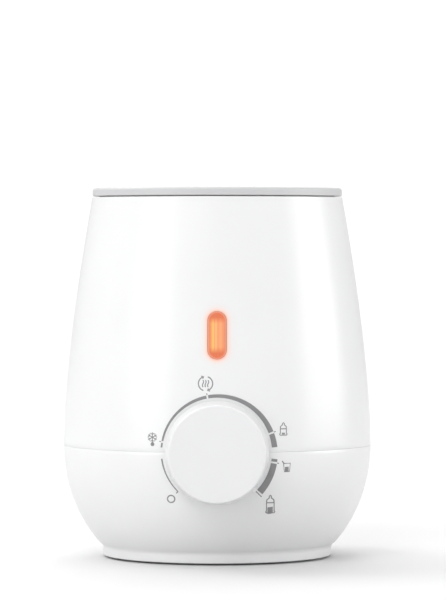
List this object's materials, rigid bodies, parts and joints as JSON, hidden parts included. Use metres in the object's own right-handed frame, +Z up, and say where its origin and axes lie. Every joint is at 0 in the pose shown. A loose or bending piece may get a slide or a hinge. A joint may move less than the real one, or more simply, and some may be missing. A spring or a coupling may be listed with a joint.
{
  "type": "bottle warmer",
  "caption": "Round electric bottle warmer with a two-part casing, a deep water well with a heated floor, a rotary dial and a lit indicator window.",
  "frame": {"origin": "centre of the anti-slip ring's underside, on the table and on the water well's axis", "axes": "+Z up along the well's axis; the dial and the indicator window face -Y; +X is the user's right as they face the dial"},
  "size_m": [0.125, 0.136, 0.15],
  "materials": {
    "casing": "satin white",
    "rim_ring": "satin light grey",
    "knob": "satin white",
    "lens": "tinted translucent window, lit from behind",
    "well": "satin light grey",
    "hot_plate": "brushed stainless steel",
    "silicone": "matte",
    "soft_grey": "matte",
    "sheet_metal": "plain",
    "element_sheath": "heat-stained",
    "bakelite": "matte",
    "sensor_can": "plain",
    "spring_steel": "plain",
    "screw_steel": "zinc plated",
    "circuit_board": "satin",
    "power_board": "satin",
    "black_part": "matte",
    "blue_part": "satin",
    "green_part": "satin",
    "yellow_part": "satin",
    "copper_part": "enamelled copper",
    "white_part": "satin",
    "glass_part": "clear",
    "led": "diffused",
    "red_wire": "matte",
    "blue_wire": "matte",
    "label": "satin foil"
  },
  "bodies": {
    "housing": {"upper_casing": "casing", "lower_casing": "casing", "rim_ring": "rim_ring", "rim_seal": "white_part", "water_well": "well", "well_base": "well", "heater_plate": "hot_plate", "plate_gasket": "silicone", "clamp_ring": "sheet_metal", "heating_element": "element_sheath", "heat_shield": "sheet_metal", "safety_thermostat": "bakelite", "temperature_sensor": "sensor_can", "sensor_spring": "spring_steel", "thermal_fuse": "white_part", "bottom_cover": "white_part", "anti_slip_ring": "soft_grey", "rating_plate": "label", "knob_bush": "white_part", "rotary_switch": "black_part", "indicator_lens": "lens", "light_box": "white_part", "indicator_leds": "led", "control_board": "circuit_board", "control_chip": "black_part", "power_board": "power_board", "relay": "blue_part", "filter_capacitor": "yellow_part", "smoothing_capacitor": "black_part", "mains_choke": "copper_part", "glass_fuse": "glass_part", "terminal_block": "green_part", "ribbon_cable": "white_part", "ribbon_connectors": "white_part", "heater_lead_live": "red_wire", "heater_lead_neutral": "blue_wire", "sensor_lead": "white_part", "cord_gland": "white_part", "cord_clamp": "black_part", "cover_screws": "screw_steel", "rim_screws": "screw_steel", "plate_screws": "screw_steel", "control_board_screws": "screw_steel", "power_board_screws": "screw_steel", "cord_clamp_screws": "screw_steel"},
    "dial": {"knob": "knob", "knob_clip": "spring_steel", "dial_shaft": "spring_steel", "switch_rotor": "black_part"}
  },
  "joints": [
    {"name": "knob_turn", "type": "hinge", "parent": "housing", "child": "dial", "pos_m": [0, -0.0665, 0.0457], "axis": [0, -1, 0], "range_deg": [0, 270]}
  ]
}
